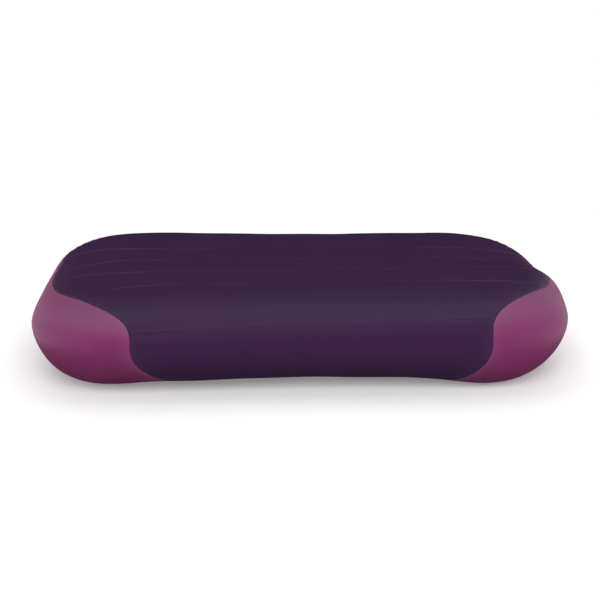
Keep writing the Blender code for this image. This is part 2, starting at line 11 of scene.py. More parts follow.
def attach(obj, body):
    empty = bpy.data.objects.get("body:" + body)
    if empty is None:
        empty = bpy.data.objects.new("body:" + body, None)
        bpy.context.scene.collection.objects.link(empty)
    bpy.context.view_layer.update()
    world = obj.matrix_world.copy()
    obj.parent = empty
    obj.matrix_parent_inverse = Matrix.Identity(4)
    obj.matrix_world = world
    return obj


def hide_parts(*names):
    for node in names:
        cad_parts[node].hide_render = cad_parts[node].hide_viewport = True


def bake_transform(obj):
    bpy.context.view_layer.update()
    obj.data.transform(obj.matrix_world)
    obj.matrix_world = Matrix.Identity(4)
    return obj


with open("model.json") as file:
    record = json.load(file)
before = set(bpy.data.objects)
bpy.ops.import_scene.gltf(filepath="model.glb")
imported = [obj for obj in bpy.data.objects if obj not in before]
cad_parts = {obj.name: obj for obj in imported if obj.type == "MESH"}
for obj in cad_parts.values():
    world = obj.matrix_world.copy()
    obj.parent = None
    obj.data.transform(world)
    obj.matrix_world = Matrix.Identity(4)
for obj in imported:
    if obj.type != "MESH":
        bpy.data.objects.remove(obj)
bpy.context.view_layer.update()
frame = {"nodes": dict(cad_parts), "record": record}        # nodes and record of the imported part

scene = bpy.context.scene
scene.view_settings.view_transform = "Standard"
print("frame loaded:", len(frame["nodes"]), "nodes")

top, base = 1, -1
left, right = -1, 1
front, rear = -1, 1
tiny = 1e-12        # keeps a division off zero

# The inflated form, with the same sizes as the solids
form = {
    "width": 0.500, "depth": 0.3424, "equator": 0.0497, "crown": 0.0299,
    "cornerRadius": 0.0999, "cornerShape": 2.14,
    "sideDraw": 0.0059, "drawReach": 0.190,              # long sides pull in between the corners
    "endTopReach": 0.0888, "endTopShape": 2.73, "endBaseReach": 0.0671, "endBaseShape": 2.16,
    "frontTopReach": 0.085, "frontTopShape": 2.3, "rearTopReach": 0.0459, "rearTopShape": 2.65,
    "sideBaseReach": 0.0607, "sideBaseShape": 1.83, "midBaseReach": 0.010,
    "twist": 0.0031, "tipInset": 0.000001,
}
# Seams and welds lie as on the solids, apart from small departures of this one cushion
seams = {
    "frontRise": 0.0155, "frontTilt": 0.0039, "rearRise": 0.0245, "baseHeight": 0.0060,
    "topInset": 0.0095, "sideX": 0.1572, "baseX": 0.1127, "skew": 0.0057,
    "frontSweep": 0.0037, "rearSweep": 0.0876, "sweepPower": 2.1,      # where an end seam sweeps in
    "cornerInset": 0.0046, "cornerRow": 0.80, "cornerSpread": 0.45,    # rounds the seam's front corner
    "rightReach": 0.0055, "rightRow": 0.35, "rightSpread": 0.6,        # the top comes further at the right
}
welds = {
    "pitch": 0.0456, "count": 4, "fieldEdge": 0.0055, "endGap": 0.006, "fade": 0.012, "fadeShape": 2,
    "groove": 0.00050, "grooveWidth": 0.0016, "dip": 0.00018, "dipWidth": 0.0085,
    "wander": 0.0005, "wanderWaves": ((43, 1, 1.0), (101, 3, 0.6)),    # rate, turn for each weld, share
    "uneven": 0.35, "unevenWaves": ((27, 2.3), (71, 1)),
    "bendFrom": 0.11,
    "leftBend": (0.032, 0.002, 0.0125, 0.001), "rightBend": (0.0125, 0.004, 0.022, 0.004),
    "gainTo": 0.2, "endGain": (2.2, 0.6, 0.8, 1.2),                    # deeper grooves near the ends
}
halfWidth = form["width"] / 2
halfDepth = form["depth"] / 2
heart = np.array([0, 0, form["equator"]])
weldPlaces = [(k - (welds["count"] - 1) / 2) * welds["pitch"] for k in range(welds["count"])]
core = weldPlaces[-1] + welds["fieldEdge"]      # half depth of the welded field


def rounding(run, reach, shape):
    leftOver = 1 - np.clip(run / reach, 0, 1)
    return np.maximum(1 - leftOver ** shape, 0) ** (1 / shape)


def smoothStep(value, low, high):
    share = np.clip((value - low) / (high - low), 0, 1)
    return share * share * (3 - 2 * share)


def bell(value, middle, reach):
    return np.exp(-((value - middle) / reach) ** 2)


def sideDraw(x):
    share = np.minimum(np.abs(x) / form["drawReach"], 1)
    return (1 - share * share) ** 2


def halfDepthAt(x):
    corner = 1 - rounding(halfWidth - np.abs(x), form["cornerRadius"], form["cornerShape"])
    return halfDepth - form["cornerRadius"] * corner - form["sideDraw"] * sideDraw(x)


def topRound(face):
    name = "front" if face == front else "rear"
    return form[name + "TopReach"], form[name + "TopShape"]


def baseReach(x):
    return form["sideBaseReach"] + form["midBaseReach"] * sideDraw(x)


def skinHeight(x, y, sheet):
    end = halfWidth - np.abs(x)
    side = halfDepthAt(x) - np.abs(y)
    if sheet == top:
        lift = np.where(y < 0, rounding(side, *topRound(front)), rounding(side, *topRound(rear)))
        lift = lift * rounding(end, form["endTopReach"], form["endTopShape"])
        twist = form["twist"] * (x / halfWidth) * (-y / halfDepth)
        return form["equator"] + (form["crown"] + twist) * lift
    drop = rounding(end, form["endBaseReach"], form["endBaseShape"])
    drop = drop * rounding(side, baseReach(x), form["sideBaseShape"])
    return form["equator"] * (1 - drop)


# Rows run along the cushion: 0 is the middle, 1 the edge of the welded field, 2 the widest line
def rowY(x, row):
    outer = np.sign(row) * (core + (halfDepthAt(x) - core) * (np.abs(row) - 1))
    return np.where(np.abs(row) <= 1, row * core, outer)


def rowAt(y):
    return y / core if y <= core else 1 + (y - core) / (halfDepthAt(0.0) - core)


def roundRow(angle, face, sheet):
    reach, shape = topRound(face) if sheet == top else (baseReach(0.0), form["sideBaseShape"])
    run = reach * (1 - np.maximum(np.cos(angle), 0) ** (2 / shape))
    return 2 - run / (halfDepthAt(0.0) - core)


def endSeamX(row, sheet, side):
    if sheet == top:
        start = np.where(row < 0, rowAt(seams["frontSweep"]), rowAt(seams["rearSweep"]))
        share = np.maximum((np.abs(row) - start) / (2 - start), 0) ** seams["sweepPower"]
        inner = halfWidth - seams["topInset"]
        x = inner + (seams["sideX"] - inner) * (1 - np.cos(math.pi * share)) / 2
        x = x - seams["cornerInset"] * bell(row, -seams["cornerRow"], seams["cornerSpread"])
        if side == right:
            x = x + seams["rightReach"] * bell(row, seams["rightRow"], seams["rightSpread"])
    else:
        run = (2 - np.abs(row)) * (halfDepthAt(0.0) - core)
        under = rounding(run, baseReach(0.0), form["sideBaseShape"]) ** 2
        x = seams["sideX"] + (seams["baseX"] - seams["sideX"]) * under
    return side * x + seams["skew"] * np.maximum(-row, 0) / 2


# A station gives the row and the sheet for each place c, from -1 at the left seam to 1 at the right
def flatStation(y, sheet):
    return lambda c: (np.full_like(c, y / core), sheet)


def roundStation(angle, face):
    def station(c):
        turn = angle(c)
        sheet = top if turn[0] >= 0 else base
        return face * roundRow(np.abs(turn), face, sheet), sheet
    return station


def seamAngle(face):
    rise, tilt = (seams["frontRise"], seams["frontTilt"]) if face == front else (seams["rearRise"], 0)

    def angle(c):
        full = form["crown"] - face * form["twist"] * c * seams["sideX"] / halfWidth
        return np.arcsin(np.minimum((rise + tilt * c) / full, 1) ** (topRound(face)[1] / 2))
    return angle


def level(angle):
    return lambda c: np.full_like(c, angle)


def baseSeam():
    drop = (form["equator"] - seams["baseHeight"]) / form["equator"]
    return level(-math.asin(drop ** (form["sideBaseShape"] / 2)))


def faceRows(face, first, last, count):
    def spread(share):
        return roundStation(lambda c: first(c) + (last(c) - first(c)) * share, face)
    return [spread(i / count) for i in range(count + 1)]


# Rows and columns of the fabric, and of the coarser bag that is inflated
fine = {"round": 30, "margin": 6, "field": 149, "upright": 16, "lower": 30, "base": 10, "under": 32,
        "columns": 210, "rings": 60}
coarse = {"round": 7, "margin": 2, "field": 27, "upright": 4, "lower": 8, "base": 3, "under": 16,
          "columns": 60, "rings": 14}


def fieldRows(counts):
    places = np.linspace(-core, core, counts["field"])
    clear = core / counts["field"]
    between = [y for y in places if min(abs(y - weld) for weld in weldPlaces) > clear]
    return sorted(between + weldPlaces)


def upperStations(counts):
    margins = {}
    for face in (front, rear):
        margin = core * (roundRow(math.pi / 2, face, top) - 1)
        shares = [i / (counts["margin"] + 1) for i in range(1, counts["margin"] + 1)]
        margins[face] = [flatStation(face * (core + margin * share), top) for share in shares]
    field = [flatStation(y, top) for y in fieldRows(counts)]
    frontRows = faceRows(front, seamAngle(front), level(math.pi / 2), counts["round"])
    rearRows = faceRows(rear, level(math.pi / 2), seamAngle(rear), counts["round"])
    return frontRows + margins[front][::-1] + field + margins[rear] + rearRows


def lowerStations(face, counts):
    upper = faceRows(face, seamAngle(face), level(0.0), counts["upright"])
    return upper + faceRows(face, level(0.0), baseSeam(), counts["lower"])[1:]


def baseStations(counts):
    rearRows = faceRows(rear, baseSeam(), level(-math.pi / 2), counts["base"])
    frontRows = faceRows(front, level(-math.pi / 2), baseSeam(), counts["base"])
    field = [flatStation(y, base) for y in np.linspace(core, -core, counts["under"] + 1)]
    return rearRows + field + frontRows


def roundStations(counts):
    down, under = lowerStations(rear, counts), baseStations(counts)
    up = lowerStations(front, counts)[::-1]
    return upperStations(counts) + down[1:] + under[1:] + up[1:-1]


def panelGrid(stations, columns):
    c = np.linspace(-1, 1, columns + 1)
    grid = []
    for station in stations:
        row, sheet = station(c)
        start, stop = endSeamX(row, sheet, left), endSeamX(row, sheet, right)
        x = (start + stop) / 2 + (stop - start) / 2 * c
        y = rowY(x, row)
        grid.append(np.stack([x, y, skinHeight(x, y, sheet)], axis=-1))
    return np.array(grid)


def endGrid(side, counts, tipInset):
    tip = side * (halfWidth - tipInset)
    turns = np.sin(np.arange(counts["rings"] + 1) / counts["rings"] * math.pi / 2)
    lines = []
    for station in roundStations(counts):
        row, sheet = station(np.array([float(side)]))
        seam = endSeamX(row, sheet, side)
        x = seam + (tip - seam) * turns
        y = rowY(seam, row) / halfDepthAt(seam) * halfDepthAt(x)
        lines.append(np.stack([x, y, skinHeight(x, y, sheet)], axis=-1))
    return np.array(lines).swapaxes(0, 1)


def unit(vectors):
    return vectors / np.maximum(np.linalg.norm(vectors, axis=-1, keepdims=True), tiny)


def slopes(points, axis, wrap):
    if wrap:
        return np.roll(points, -1, axis) - np.roll(points, 1, axis)
    return np.gradient(points, axis=axis)


def outward(points, wrap):
    normals = unit(np.cross(slopes(points, 1, wrap), slopes(points, 0, False)))
    return normals if ((points - heart) * normals).sum() > 0 else -normals


def runLengths(points, axis):
    steps = np.linalg.norm(np.diff(points, axis=axis), axis=-1)
    zero = np.zeros_like(np.take(steps, [0], axis=axis))
    return np.concatenate([zero, np.cumsum(steps, axis=axis)], axis=axis)


# Meshes are made from grids of points
def looped(grid, axis):
    return np.concatenate([grid, np.take(grid, [0], axis=axis)], axis=axis)


def quads(grid):
    corners = np.stack([grid[:-1, :-1], grid[:-1, 1:], grid[1:, 1:], grid[1:, :-1]], axis=2)
    return corners.reshape(-1, *corners.shape[2:])


def gridIndex(points):
    return np.arange(points.shape[0] * points.shape[1]).reshape(points.shape[:2])


def newMesh(name, points, polygons):
    mesh = bpy.data.meshes.new(name)
    mesh.from_pydata(points.reshape(-1, 3).tolist(), [], polygons)
    return mesh


def addObject(name, data):
    thing = bpy.data.objects.new(name, data)
    scene.collection.objects.link(thing)
    return thing


def rework(mesh, change):
    work = bmesh.new()
    work.from_mesh(mesh)
    change(work)
    work.to_mesh(mesh)
    work.free()


def faceOut(work):
    bmesh.ops.recalc_face_normals(work, faces=work.faces)


def dropLoose(work):
    bmesh.ops.delete(work, geom=[vert for vert in work.verts if not vert.link_faces], context="VERTS")


# The air-filled skin is a cloth under pressure, held at its seams, welds and tips and on the floor
bladder = {"pressure": 8.0, "frames": 20, "tension": 25.0, "shear": 12.5, "bending": 1.5, "spare": -0.0004,
           "quality": 6, "tipInset": 0.0008, "floor": 0.0012, "onLine": 1e-6,
           "neighbours": 10, "leastWeight": 1e-9,
           "sunk": 0.0011, "flatShare": 0.12, "flatFrom": 0.7, "flatTo": 0.95}     # the top stays calm


def weldEnd(place):
    row = np.array([place / core])
    nearest = min(side * endSeamX(row, top, side)[0] for side in (left, right))
    return nearest - welds["endGap"]


def bladderPoints():
    ends = {side: endGrid(side, coarse, bladder["tipInset"]).swapaxes(0, 1) for side in (left, right)}
    middle = panelGrid(roundStations(coarse), coarse["columns"])
    return np.concatenate([ends[left][:, ::-1], middle[:, 1:-1], ends[right]], axis=1)


def heldPoints(points):
    lines = points.shape[0]
    held = points[..., 2] < bladder["floor"]
    held[:, [0, coarse["rings"], -coarse["rings"] - 1, -1]] = True        # tips and end seams
    upper = len(upperStations(coarse))
    lower = len(lowerStations(rear, coarse))
    under = len(baseStations(coarse))
    span = slice(coarse["rings"], -coarse["rings"])
    for line in (0, upper - 1, upper + lower - 2, upper + lower + under - 3):        # long seams
        held[line % lines, span] = True
    for place in weldPlaces:
        onWeld = np.abs(points[..., 1] - place) < bladder["onLine"]
        onWeld &= np.abs(points[..., 0]) < weldEnd(place)
        held |= onWeld & (points[..., 2] > form["equator"])
    return held


def inflatedShift(points):
    index = looped(gridIndex(points), 0)
    tips = [index[:-1, 0].tolist(), index[:-1, -1].tolist()[::-1]]
    mesh = newMesh("bladder", points, quads(index).tolist() + tips)
    rework(mesh, faceOut)
    bag = addObject("bladder", mesh)
    group = bag.vertex_groups.new(name="held")
    group.add(np.flatnonzero(heldPoints(points).ravel()).tolist(), 1.0, "REPLACE")
    air = bag.modifiers.new("air", "CLOTH")
    air.settings.quality = bladder["quality"]
    air.settings.use_pressure = True
    air.settings.uniform_pressure_force = bladder["pressure"]
    air.settings.tension_stiffness = bladder["tension"]
    air.settings.compression_stiffness = bladder["tension"]
    air.settings.shear_stiffness = bladder["shear"]
    air.settings.bending_stiffness = bladder["bending"]
    air.settings.shrink_min = bladder["spare"]
    air.settings.vertex_group_mass = "held"
    air.settings.effector_weights.gravity = 0
    air.collision_settings.use_collision = False
    air.point_cache.frame_end = bladder["frames"]
    for step in range(1, bladder["frames"] + 1):
        scene.frame_set(step)
    settled = bag.evaluated_get(bpy.context.evaluated_depsgraph_get()).data
    moved = np.zeros(points.size, np.float32)
    settled.vertices.foreach_get("co", moved)
    shift = moved.reshape(-1, 3) - points.reshape(-1, 3)
    bpy.data.objects.remove(bag)
    bpy.data.meshes.remove(mesh)
    scene.frame_set(1)
    print("cloth moved by up to %.2f mm" % (np.linalg.norm(shift, axis=1).max() * 1000))
    return shift


def buildBladder():
    points = bladderPoints()
    shift = inflatedShift(points)
    tree = KDTree(len(shift))
    for number, point in enumerate(points.reshape(-1, 3)):
        tree.insert(point, number)
    tree.balance()
    return tree, shift


airTree, airShift = buildBladder()


def airSwell(points):
    if airTree is None:
        return np.zeros_like(points)
    found = [airTree.find_n(point, bladder["neighbours"]) for point in points.reshape(-1, 3)]
    number = np.array([[hit[1] for hit in hits] for hits in found])
    away = np.array([[hit[2] for hit in hits] for hits in found])
    weight = (1 - away / away[:, -1:]) ** 2 + bladder["leastWeight"]
    weight /= weight.sum(axis=1, keepdims=True)
    shift = (airShift[number] * weight[..., None]).sum(axis=1).reshape(points.shape)
    height = (points[..., 2] - form["equator"]) / form["crown"]
    onTop = smoothStep(height, bladder["flatFrom"], bladder["flatTo"])
    return shift * (1 - (1 - bladder["flatShare"]) * onTop)[..., None]


# Small departures of this cushion from its even form: where, how far across and how far out
unevenSpots = [
    ((0.228, -0.030, 0.066), 0.045, 0.0050),      # fuller shoulder at the right end
    ((0.222, 0.060, 0.070), 0.045, -0.0016),      # and a flatter one behind it
    ((0.168, -0.138, 0.008), 0.036, 0.0042),      # fuller front right bulb, near the floor
    ((-0.138, -0.150, 0.008), 0.030, -0.0014),    # and a flatter front left one
    ((-0.218, -0.080, 0.012), 0.042, 0.0038),     # fuller feet of the two ends
    ((0.224, -0.090, 0.018), 0.042, 0.0016),
    ((-0.2485, -0.091, 0.050), 0.030, -0.0012),   # rounder tips of the two ends
    ((0.2467, -0.100, 0.050), 0.030, -0.0016),
]
unevenness = {"rise": 0.00022, "waves": ((31, 37, 19, 1.3), (57, 23, 41, 2.1), (83, 67, 29, 0.4))}
valvePlace = {"x": 0.085, "radius": 0.0175, "hole": 0.0114, "calmFrom": 0.020, "calmTo": 0.045, "far": 1.0}
valveAxis = Vector((valvePlace["x"], float(halfDepthAt(valvePlace["x"])), form["equator"]))


def fromValve(points):
    away = points - np.array(valveAxis)
    return np.where(points[..., 1] > 0, np.hypot(away[..., 0], away[..., 2]), valvePlace["far"])


def onFloor(points):
    return np.concatenate([points[..., :2], np.maximum(points[..., 2:], 0)], axis=-1)


def shaped(points, wrap):
    rise = np.zeros(points.shape[:2])
    for place, reach, height in unevenSpots:
        rise += height * bell(np.linalg.norm(points - np.array(place), axis=-1), 0, reach)
    for along, across, upright, phase in unevenness["waves"]:
        wave = np.sin(along * points[..., 0] + phase) * np.sin(across * points[..., 1] + 2 * phase)
        rise += unevenness["rise"] * wave * np.cos(upright * points[..., 2] + phase)
    normals = outward(points, wrap)
    rise += (airSwell(points) * normals).sum(axis=-1)
    rise *= smoothStep(fromValve(points), valvePlace["calmFrom"], valvePlace["calmTo"])
    return onFloor(points + normals * np.maximum(rise, -bladder["sunk"])[..., None])


# Each weld pulls a fine wandering groove into the top
def weldDip(points):
    x, y = points[..., 0], points[..., 1]
    dip = np.zeros_like(x)
    for number, place in enumerate(weldPlaces):
        fade = rounding(weldEnd(place) - np.abs(x), welds["fade"], welds["fadeShape"])
        bend = np.where(x < 0, welds["leftBend"][number], welds["rightBend"][number])
        bend = bend * smoothStep(np.abs(x), welds["bendFrom"], weldEnd(place)) ** 2
        wander = sum(part * np.sin(rate * x + turn * number) for rate, turn, part in welds["wanderWaves"])
        line = place - bend + welds["wander"] * wander
        slow, fast = [np.sin(rate * x + turn * number) for rate, turn in welds["unevenWaves"]]
        gain = welds["endGain"][number] * smoothStep(np.abs(x), welds["bendFrom"], welds["gainTo"])
        firm = (1 - welds["uneven"] * (1 + slow * fast) / 2) * (1 + gain)
        dip += fade * firm * welds["groove"] * bell(y, line, welds["grooveWidth"])
        dip += fade * welds["dip"] * bell(y, line, welds["dipWidth"])
    return dip * (points[..., 2] > form["equator"])


# Stitched and taped edges draw the fabric into small puckers that die out within two centimetres
pucker = {"rise": 0.00010, "reach": 0.007, "pitch": 0.0105, "steady": 0.6, "sway": 0.4, "swayRate": 71,
          "sidePhase": 0.7, "endPhase": 2.9, "ringPhase": 1.9}


def puckers(fromEdge, alongEdge, phase):
    wave = np.sin(2 * math.pi * alongEdge / pucker["pitch"] + phase)
    wave = wave * (pucker["steady"] + pucker["sway"] * np.sin(alongEdge * pucker["swayRate"] + 2 * phase))
    return pucker["rise"] * wave * np.exp(-fromEdge / pucker["reach"])


# A turned-in seam edge: a quarter round that ends in a short tuck inside the cushion
edgeTurn = {"gap": 0.00005, "tuck": 0.0005, "steps": 4}


def turnedEdge(points, normals, radius, wrap):
    edge, normal = points[0], normals[0]
    tangent = unit(slopes(edge, 0, wrap))
    inward = unit(np.cross(normal, tangent))
    inward *= np.sign((inward * (points[2] - edge)).sum(-1, keepdims=True))
    radius = np.broadcast_to(radius, edge.shape[:1])[:, None]
    profile = [(edgeTurn["gap"], radius + edgeTurn["tuck"])]
    for step in range(edgeTurn["steps"] + 1):
        angle = math.pi / 2 * (1 - step / edgeTurn["steps"])
        profile.append((edgeTurn["gap"] + radius * (1 - math.sin(angle)), radius * (1 - math.cos(angle))))
    rows = np.array([edge + inward * across - normal * depth for across, depth in profile])
    turned = np.repeat(normal[None], len(profile), axis=0)
    return np.concatenate([rows, points[1:]]), np.concatenate([turned, normals[1:]])


# Brings one edge of a panel to its first row, and back
def edgeFirst(grid, across, last):
    grid = grid.swapaxes(0, 1) if across else grid
    return grid[::-1] if last else grid


def edgeBack(grid, across, last):
    grid = grid[::-1] if last else grid
    return grid.swapaxes(0, 1) if across else grid


def turnedPanel(points, radii):
    normals = outward(points, False)
    for number, radius in enumerate(radii):          # first row, last row, first column, last column
        across, last = number >= 2, number % 2 == 1
        points, normals = [edgeFirst(grid, across, last) for grid in (points, normals)]
        points, normals = turnedEdge(points, normals, radius, False)
        points, normals = [edgeBack(grid, across, last) for grid in (points, normals)]
    return points


def clothMap(points):
    u, v = runLengths(points, 1), runLengths(points, 0)
    u = u - u[:, u.shape[1] // 2][:, None]
    return np.stack([u, v], axis=-1)


def drawnHole(spots, faces, inHole):                 # draws the rim to a circle, gives the faces to keep
    cut = inHole[faces].any(axis=1)
    rim = np.setdiff1d(np.intersect1d(faces[cut], faces[~cut]), np.flatnonzero(inHole))
    away = spots[rim] - np.array(valveAxis)
    away[:, 1] = 0
    spots[rim] += unit(away) * valvePlace["hole"] - away
    return ~cut


def tipFace(ring, rim, rimUv):                       # closes the small opening at the tip of an end
    arms = ring - ring.mean(axis=0)
    area = np.cross(arms, np.roll(arms, -1, axis=0)).sum(axis=0)
    if area[0] * ring[0, 0] < 0:
        return rim[::-1], rimUv[::-1]
    return rim, rimUv


def gridObject(name, points, wear, wrap=False, hole=None):
    index, mapped = gridIndex(points), points
    if wrap:
        index, mapped = looped(index, 1), looped(points, 1)
    uv = clothMap(mapped)
    faces, loops = quads(index), quads(uv)
    spots = points.reshape(-1, 3).copy()
    if hole is not None:
        kept = drawnHole(spots, faces, hole.ravel())
        faces, loops = faces[kept], loops[kept]
    normal = np.cross(spots[faces[:, 2]] - spots[faces[:, 0]], spots[faces[:, 3]] - spots[faces[:, 1]])
    centre = spots[faces].mean(axis=1) - heart
    if (normal * centre).sum() < 0:
        faces, loops = faces[:, ::-1], loops[:, ::-1]
    polygons, loops = faces.tolist(), loops.reshape(-1, 2).tolist()
    if wrap:
        rim, rimUv = tipFace(points[-1], index[-1, :-1].tolist(), uv[-1, :-1].tolist())
        polygons.append(rim)
        loops += rimUv
    mesh = newMesh(name, spots, polygons)
    mesh.uv_layers.new(name="cloth").data.foreach_set("uv", np.array(loops, np.float32).ravel())
    worn = mesh.attributes.new("wear", "FLOAT", "POINT")
    worn.data.foreach_set("value", wear.ravel().astype(np.float32))
    if hole is not None:
        rework(mesh, dropLoose)
    mesh.shade_smooth()
    mesh.update()
    return addObject(name, mesh)


# Finishes
noiseLook = {"detail": 4.0, "roughness": 0.6, "toneStops": (0.3, 0.7)}
mixSocket = {"factor": 0, "first": 6, "second": 7, "result": 2}        # of a mix of two colours


def newMaterial(name):
    finish = bpy.data.materials.new(name)
    finish.use_nodes = True
    return finish, finish.node_tree, finish.node_tree.nodes["Principled BSDF"]


def setInputs(node, values):
    for key, value in values.items():
        node.inputs[key].default_value = value


def addNode(tree, kind, values=None, **settings):
    made = tree.nodes.new("ShaderNode" + kind)
    for key, value in settings.items():
        setattr(made, key, value)
    setInputs(made, values or {})
    return made


def calc(tree, operation, first, second=0.0, third=None):
    made = addNode(tree, "Math", operation=operation)
    for socket, value in zip(made.inputs, (first, second, third)):
        if value is None:
            continue
        if isinstance(value, (int, float)):
            socket.default_value = value
        else:
            tree.links.new(value, socket)
    return made.outputs[0]


def noise(tree, scale, detail=noiseLook["detail"]):
    where = addNode(tree, "TexCoord")
    made = addNode(tree, "TexNoise", {"Scale": scale, "Detail": detail})
    setInputs(made, {"Roughness": noiseLook["roughness"]})
    tree.links.new(where.outputs["Object"], made.inputs["Vector"])
    return made.outputs["Fac"]


def tones(tree, factor, colour, gains):
    ramp = addNode(tree, "ValToRGB")
    for stop, (place, gain) in enumerate(zip(noiseLook["toneStops"], gains)):
        ramp.color_ramp.elements[stop].position = place
        ramp.color_ramp.elements[stop].color = (*[gain * c for c in colour], 1)
    tree.links.new(factor, ramp.inputs["Fac"])
    return ramp.outputs["Color"]


def spreadAround(tree, factor, middle, spread):
    made = addNode(tree, "MapRange", {"To Min": middle - spread, "To Max": middle + spread})
    tree.links.new(factor, made.inputs["Value"])
    return made.outputs["Result"]


def bump(tree, height, strength, distance):
    made = addNode(tree, "Bump", {"Strength": strength, "Distance": distance})
    tree.links.new(height, made.inputs["Height"])
    return made


darkFabric = {"colour": (0.0310, 0.0112, 0.0415), "worn": (0.060, 0.036, 0.070), "roughness": 0.39,
              "specular": 0.085, "yarn": 0.0009, "weave": 0.16, "gloss": (0.88, 0.62, 1.0)}
magentaFabric = {"colour": (0.130, 0.0085, 0.0715), "worn": (0.26, 0.08, 0.17), "roughness": 0.56,
                 "specular": 0.74, "yarn": 0.0009, "weave": 0.16, "gloss": (1.0, 0.85, 0.95)}
cloth = {"blotch": 13.0, "fleck": 420.0, "crumple": 38.0, "evenDetail": 2.0, "yarnTone": 0.05,
         "tones": (0.95, 1.05), "roughSpread": 0.04, "rubbedRough": 0.1,
         "weaveDepth": 0.00006, "crumpleStrength": 0.05, "crumpleDepth": 0.002}


def fabric(name, look):
    finish, tree, shader = newMaterial(name)
    link = tree.links.new
    place = addNode(tree, "UVMap", uv_map="cloth")
    parts = addNode(tree, "SeparateXYZ")
    link(place.outputs["UV"], parts.inputs[0])
    turns = 2 * math.pi / look["yarn"]
    warp = calc(tree, "SINE", calc(tree, "MULTIPLY", parts.outputs["X"], turns))
    weft = calc(tree, "SINE", calc(tree, "MULTIPLY", parts.outputs["Y"], turns))
    yarn = calc(tree, "MULTIPLY", warp, weft)
    blotch = noise(tree, cloth["blotch"])
    fleck = noise(tree, cloth["fleck"], cloth["evenDetail"])
    shade = calc(tree, "MULTIPLY_ADD", yarn, cloth["yarnTone"], blotch)
    worn = addNode(tree, "Attribute", attribute_name="wear")
    rubbed = calc(tree, "MULTIPLY", worn.outputs["Fac"], fleck)
    colour = addNode(tree, "Mix", data_type="RGBA")
    link(rubbed, colour.inputs[mixSocket["factor"]])
    link(tones(tree, shade, look["colour"], cloth["tones"]), colour.inputs[mixSocket["first"]])
    colour.inputs[mixSocket["second"]].default_value = (*look["worn"], 1)
    link(colour.outputs[mixSocket["result"]], shader.inputs["Base Color"])
    rough = spreadAround(tree, blotch, look["roughness"], cloth["roughSpread"])
    link(calc(tree, "MULTIPLY_ADD", rubbed, cloth["rubbedRough"], rough), shader.inputs["Roughness"])
    weave = bump(tree, yarn, look["weave"], cloth["weaveDepth"])
    crumpled = noise(tree, cloth["crumple"], cloth["evenDetail"])
    crumple = bump(tree, crumpled, cloth["crumpleStrength"], cloth["crumpleDepth"])
    link(weave.outputs["Normal"], crumple.inputs["Normal"])
    link(crumple.outputs["Normal"], shader.inputs["Normal"])
    setInputs(shader, {"Specular IOR Level": look["specular"], "Specular Tint": (*look["gloss"], 1)})
    return finish


graining = {"detail": 5.0, "tones": (0.8, 1.2), "roughSpread": 0.08, "strength": 0.3}


def grained(name, look):
    finish, tree, shader = newMaterial(name)
    speck = noise(tree, look["grain"], graining["detail"])
    tree.links.new(tones(tree, speck, look["colour"], graining["tones"]), shader.inputs["Base Color"])
    rough = spreadAround(tree, speck, look["roughness"], graining["roughSpread"])
    tree.links.new(rough, shader.inputs["Roughness"])
    pits = bump(tree, speck, graining["strength"], look["bump"])
    tree.links.new(pits.outputs["Normal"], shader.inputs["Normal"])
    setInputs(shader, {"Specular IOR Level": look["specular"]})
    return finish


grainedLooks = {
    "web_fabric": {"colour": (0.45, 0.43, 0.46), "roughness": 0.8, "specular": 0.2,
                   "grain": 900, "bump": 0.0002},
    "black_rubber": {"colour": (0.02, 0.02, 0.022), "roughness": 0.5, "specular": 0.4,
                     "grain": 1500, "bump": 0.00005},
    "grey_rubber": {"colour": (0.22, 0.22, 0.24), "roughness": 0.45, "specular": 0.4,
                    "grain": 1500, "bump": 0.00005},
    "thread": {"colour": (0.010, 0.004, 0.014), "roughness": 0.6, "specular": 0.2,
               "grain": 2500, "bump": 0.00005},
}
finishes = {name: grained(name + "_finish", look) for name, look in grainedLooks.items()}
finishes["dark_fabric"] = fabric("dark_fabric_finish", darkFabric)
finishes["magenta_fabric"] = fabric("magenta_fabric_finish", magentaFabric)
print("finishes made")

# Panels of the skin
panels = {"sheet": 0.0005, "longTurn": 0.00045, "endTurn": 0.0006, "fill": 0.95,
          "wear": 0.5, "wearReach": 0.006}
frontSeam = {"least": 0.35, "open": 0.55, "sway": 0.35, "swayWaves": ((9, 0.5), (23, 0)),
             "shut": 0.8, "shutPlaces": ((-0.86, 0.12), (0.17, 0.03), (0.62, 0.05), (0.92, 0.13))}


def seamTurn():
    c = np.linspace(-1, 1, fine["columns"] + 1)
    slow, fast = [np.sin(rate * c + phase) for rate, phase in frontSeam["swayWaves"]]
    turn = frontSeam["open"] + frontSeam["sway"] * slow * fast
    for middle, reach in frontSeam["shutPlaces"]:
        turn = turn * (1 - frontSeam["shut"] * bell(c, middle, reach))
    return panels["longTurn"] * (frontSeam["least"] + turn)


def rubbing(fromEdge):
    return panels["wear"] * np.exp(-fromEdge / panels["wearReach"])


def dressPanel(piece, node, slot):
    piece.data.materials.append(finishes[slot])
    thick = piece.modifiers.new("fabric", "SOLIDIFY")
    thick.thickness = panels["sheet"]
    thick.offset = -1
    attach(piece, "cushion")
    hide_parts(node)


def edgeRuns(points):
    across, along = runLengths(points, 1), runLengths(points, 0)
    sides = np.minimum(across, across[:, -1:] - across)
    ends = np.minimum(along, along[-1:] - along)
    return sides, ends, across, along


